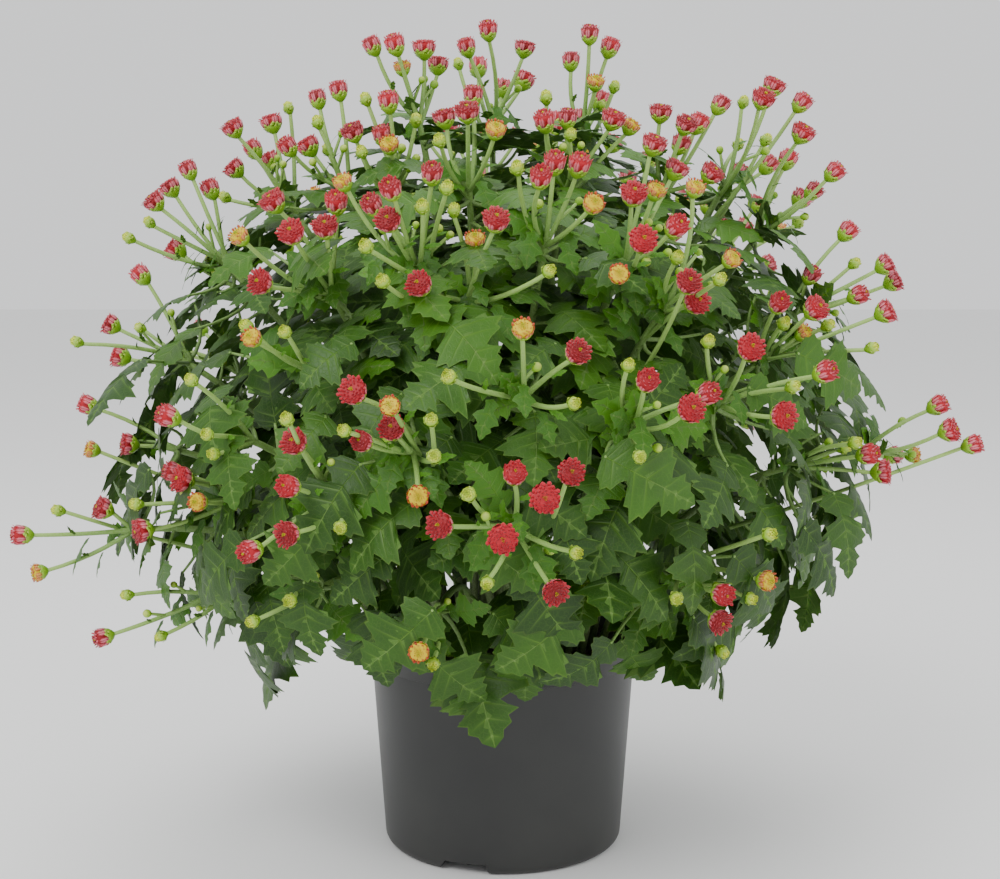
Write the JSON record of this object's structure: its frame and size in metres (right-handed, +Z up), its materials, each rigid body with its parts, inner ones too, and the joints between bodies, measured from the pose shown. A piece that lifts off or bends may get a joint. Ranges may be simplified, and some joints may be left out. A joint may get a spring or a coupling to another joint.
{
  "type": "potted chrysanthemum",
  "caption": "Bushy potted chrysanthemum: a round dome of lobed leaves and small button heads and buds on thin stalks, in a tapered plastic nursery pot with a flared rim.",
  "frame": {"origin": "centre of the circle that the pot stands on, on the surface under it, which is also the bottom centre of the whole plant's box", "axes": "+Z up the pot's axis; -Y is the front seen in the picture; +X is to the right of that view"},
  "size_m": [0.5716, 0.5209, 0.5118],
  "materials": {
    "pot_plastic": "satin moulded polypropylene",
    "soil": "rough damp peat",
    "foliage": "soft matt leaf"
  },
  "bodies": {
    "root": {"pot": "pot_plastic", "soil": "soil", "stem_left_low": "foliage", "stem_left_mid": "foliage", "stem_left_hang": "foliage", "stem_left_out": "foliage", "stem_left_high": "foliage", "stem_left_inner": "foliage", "stem_shoulder_left": "foliage", "stem_crown_left": "foliage", "stem_crown_left_top": "foliage", "stem_front_left_high": "foliage", "stem_top_left": "foliage", "stem_top_left_front": "foliage", "stem_top_middle": "foliage", "stem_top_middle_front": "foliage", "stem_top_right": "foliage", "stem_top_right_front": "foliage", "stem_front_high": "foliage", "stem_front_centre_high": "foliage", "stem_front_middle_high": "foliage", "stem_front_right_high": "foliage", "stem_crown_right_top": "foliage", "stem_crown_right": "foliage", "stem_shoulder_right": "foliage", "stem_right_inner_high": "foliage", "stem_right_high": "foliage", "stem_right_mid": "foliage", "stem_right_inner": "foliage", "stem_right_out": "foliage", "stem_right_low": "foliage", "stem_front_right": "foliage", "stem_right_hang": "foliage", "stem_front_middle": "foliage", "stem_front_left": "foliage", "stem_front_centre": "foliage", "stem_front_left_low": "foliage", "stem_front_hang_left": "foliage", "stem_front_hang": "foliage", "stem_left_front_high": "foliage", "stem_back_front_centre": "foliage", "stem_back_front_left": "foliage", "stem_back_front_right": "foliage", "stem_back_front_middle": "foliage", "stem_back_front_left_low": "foliage", "stem_back_right_hang": "foliage", "stem_back_right_inner": "foliage", "stem_back_front_middle_high": "foliage", "stem_back_front_high": "foliage", "stem_back_front_left_high": "foliage", "stem_back_right_inner_high": "foliage", "stem_back_front_right_high": "foliage", "stem_back_top_left_front": "foliage", "stem_back_top_middle_front": "foliage", "stem_back_top_right_front": "foliage", "stem_back_left_front_high": "foliage", "stem_back_left_inner": "foliage"}
  },
  "joints": []
}
